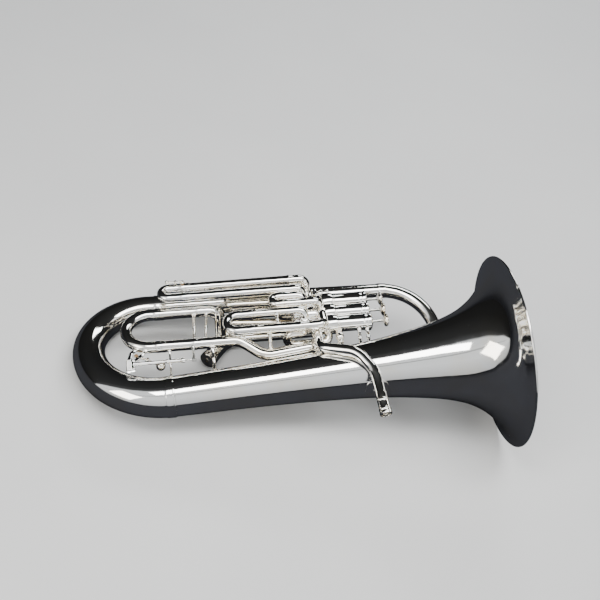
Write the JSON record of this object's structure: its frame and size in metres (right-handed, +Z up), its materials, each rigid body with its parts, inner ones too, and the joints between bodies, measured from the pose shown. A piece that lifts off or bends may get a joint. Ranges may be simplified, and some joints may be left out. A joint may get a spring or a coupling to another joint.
{
  "type": "euphonium",
  "caption": "Silver-plated upright brass wind instrument with a wide bell, looped tubing, three top piston valves, a side valve and pull-out tuning slides.",
  "frame": {"origin": "bottom centre of the bounding box, on the surface that the instrument lies on", "axes": "+X towards the bell mouth, +Y from the bell towards the back branch, +Z up; the instrument lies on its side with the slides uppermost"},
  "size_m": [0.715, 0.3532, 0.3056],
  "materials": {
    "bright_silver": "mirror-polished silver plate",
    "silver": "polished silver plate",
    "warm_silver": "polished silver plate with a warm tone",
    "nickel": "honed nickel",
    "spring_steel": "bright spring wire",
    "felt_and_cork": "felt and natural cork"
  },
  "bodies": {
    "horn": {"bell": "bright_silver", "bottom_bow": "bright_silver", "back_branch": "silver", "top_bow": "silver", "branch_tube": "silver", "main_slide_upper_tube": "silver", "slide_1_upper_tube": "silver", "slide_1_lower_tube": "silver", "slide_2_upper_tube": "silver", "slide_2_lower_tube": "silver", "slide_3_lower_tube": "silver", "slide_3_upper_tube": "silver", "slide_4_upper_tube": "silver", "slide_4_lower_tube": "silver", "valve_link_tube": "warm_silver", "compensating_loop_3": "warm_silver", "compensating_loop_1": "warm_silver", "leadpipe": "bright_silver", "mouthpiece_receiver": "bright_silver", "leadpipe_brace": "silver", "valve_casing_1": "bright_silver", "top_cap_1": "bright_silver", "bottom_cap_1": "silver", "piston_spring_1": "spring_steel", "valve_casing_2": "bright_silver", "top_cap_2": "bright_silver", "bottom_cap_2": "silver", "piston_spring_2": "spring_steel", "valve_casing_3": "bright_silver", "top_cap_3": "bright_silver", "bottom_cap_3": "silver", "piston_spring_3": "spring_steel", "valve_casing_4": "bright_silver", "top_cap_4": "bright_silver", "bottom_cap_4": "silver", "piston_spring_4": "spring_steel", "brace_bell_outer": "silver", "brace_bell_middle": "silver", "brace_bell_inner": "silver", "brace_main_slide": "silver", "brace_main_slide_inner": "silver", "brace_casing_bell": "silver", "brace_back_branch": "silver", "trigger_guide_rod": "nickel"},
    "piston_1": {"piston_1": "nickel", "finger_button_1": "bright_silver"},
    "piston_2": {"piston_2": "nickel", "finger_button_2": "bright_silver"},
    "piston_3": {"piston_3": "nickel", "finger_button_3": "bright_silver"},
    "piston_4": {"piston_4": "nickel", "finger_button_4": "bright_silver"},
    "main_slide": {"main_slide_crook": "bright_silver", "trigger_bracket": "silver"},
    "slide_1": {"slide_1_crook": "bright_silver"},
    "slide_2": {"slide_2_crook": "bright_silver"},
    "slide_3": {"slide_3_crook": "bright_silver"},
    "slide_4": {"slide_4_crook": "bright_silver"},
    "main_water_key": {"water_key_main": "warm_silver"},
    "third_water_key": {"water_key_third": "warm_silver"}
  },
  "joints": [
    {"name": "piston_1_press", "type": "slide", "parent": "horn", "child": "piston_1", "axis": [-0.9842, -0.019, -0.1759], "range_m": [0, 0.0165], "stiffness_N_per_m": 110, "springref_m": -0.014, "deforming": ["piston_spring_1"]},
    {"name": "piston_2_press", "type": "slide", "parent": "horn", "child": "piston_2", "axis": [-0.9842, -0.019, -0.1759], "range_m": [0, 0.0165], "stiffness_N_per_m": 110, "springref_m": -0.014, "deforming": ["piston_spring_2"]},
    {"name": "piston_3_press", "type": "slide", "parent": "horn", "child": "piston_3", "axis": [-0.9842, -0.019, -0.1759], "range_m": [0, 0.0165], "stiffness_N_per_m": 110, "springref_m": -0.014, "deforming": ["piston_spring_3"]},
    {"name": "piston_4_press", "type": "slide", "parent": "horn", "child": "piston_4", "axis": [-0.5505, -0.8348, -0.0095], "range_m": [0, 0.0165], "stiffness_N_per_m": 110, "springref_m": -0.014, "deforming": ["piston_spring_4"]},
    {"name": "main_slide_pull", "type": "slide", "parent": "horn", "child": "main_slide", "axis": [-0.9842, -0.019, -0.1759], "range_m": [0, 0.035]},
    {"name": "slide_1_pull", "type": "slide", "parent": "horn", "child": "slide_1", "axis": [-0.9842, -0.019, -0.1759], "range_m": [0, 0.04]},
    {"name": "slide_2_pull", "type": "slide", "parent": "horn", "child": "slide_2", "axis": [-0.9842, -0.019, -0.1759], "range_m": [0, 0.008]},
    {"name": "slide_3_pull", "type": "slide", "parent": "horn", "child": "slide_3", "axis": [-0.9842, -0.019, -0.1759], "range_m": [0, 0.06]},
    {"name": "slide_4_pull", "type": "slide", "parent": "horn", "child": "slide_4", "axis": [0.9842, 0.019, 0.1759], "range_m": [0, 0.035]},
    {"name": "main_water_key_lift", "type": "hinge", "parent": "main_slide", "child": "main_water_key", "pos_m": [-0.24261, -0.00311, 0.06773], "axis": [-0.4637, -0.8859, 0.0117], "range_deg": [0, 12], "stiffness_Nm_per_rad": 0.25, "springref_deg": -28.65},
    {"name": "third_water_key_lift", "type": "hinge", "parent": "slide_3", "child": "third_water_key", "pos_m": [-0.19893, 0.12684, 0.11629], "axis": [0, -0.9942, 0.1072], "range_deg": [0, 10], "stiffness_Nm_per_rad": 0.12, "springref_deg": -28.65}
  ]
}
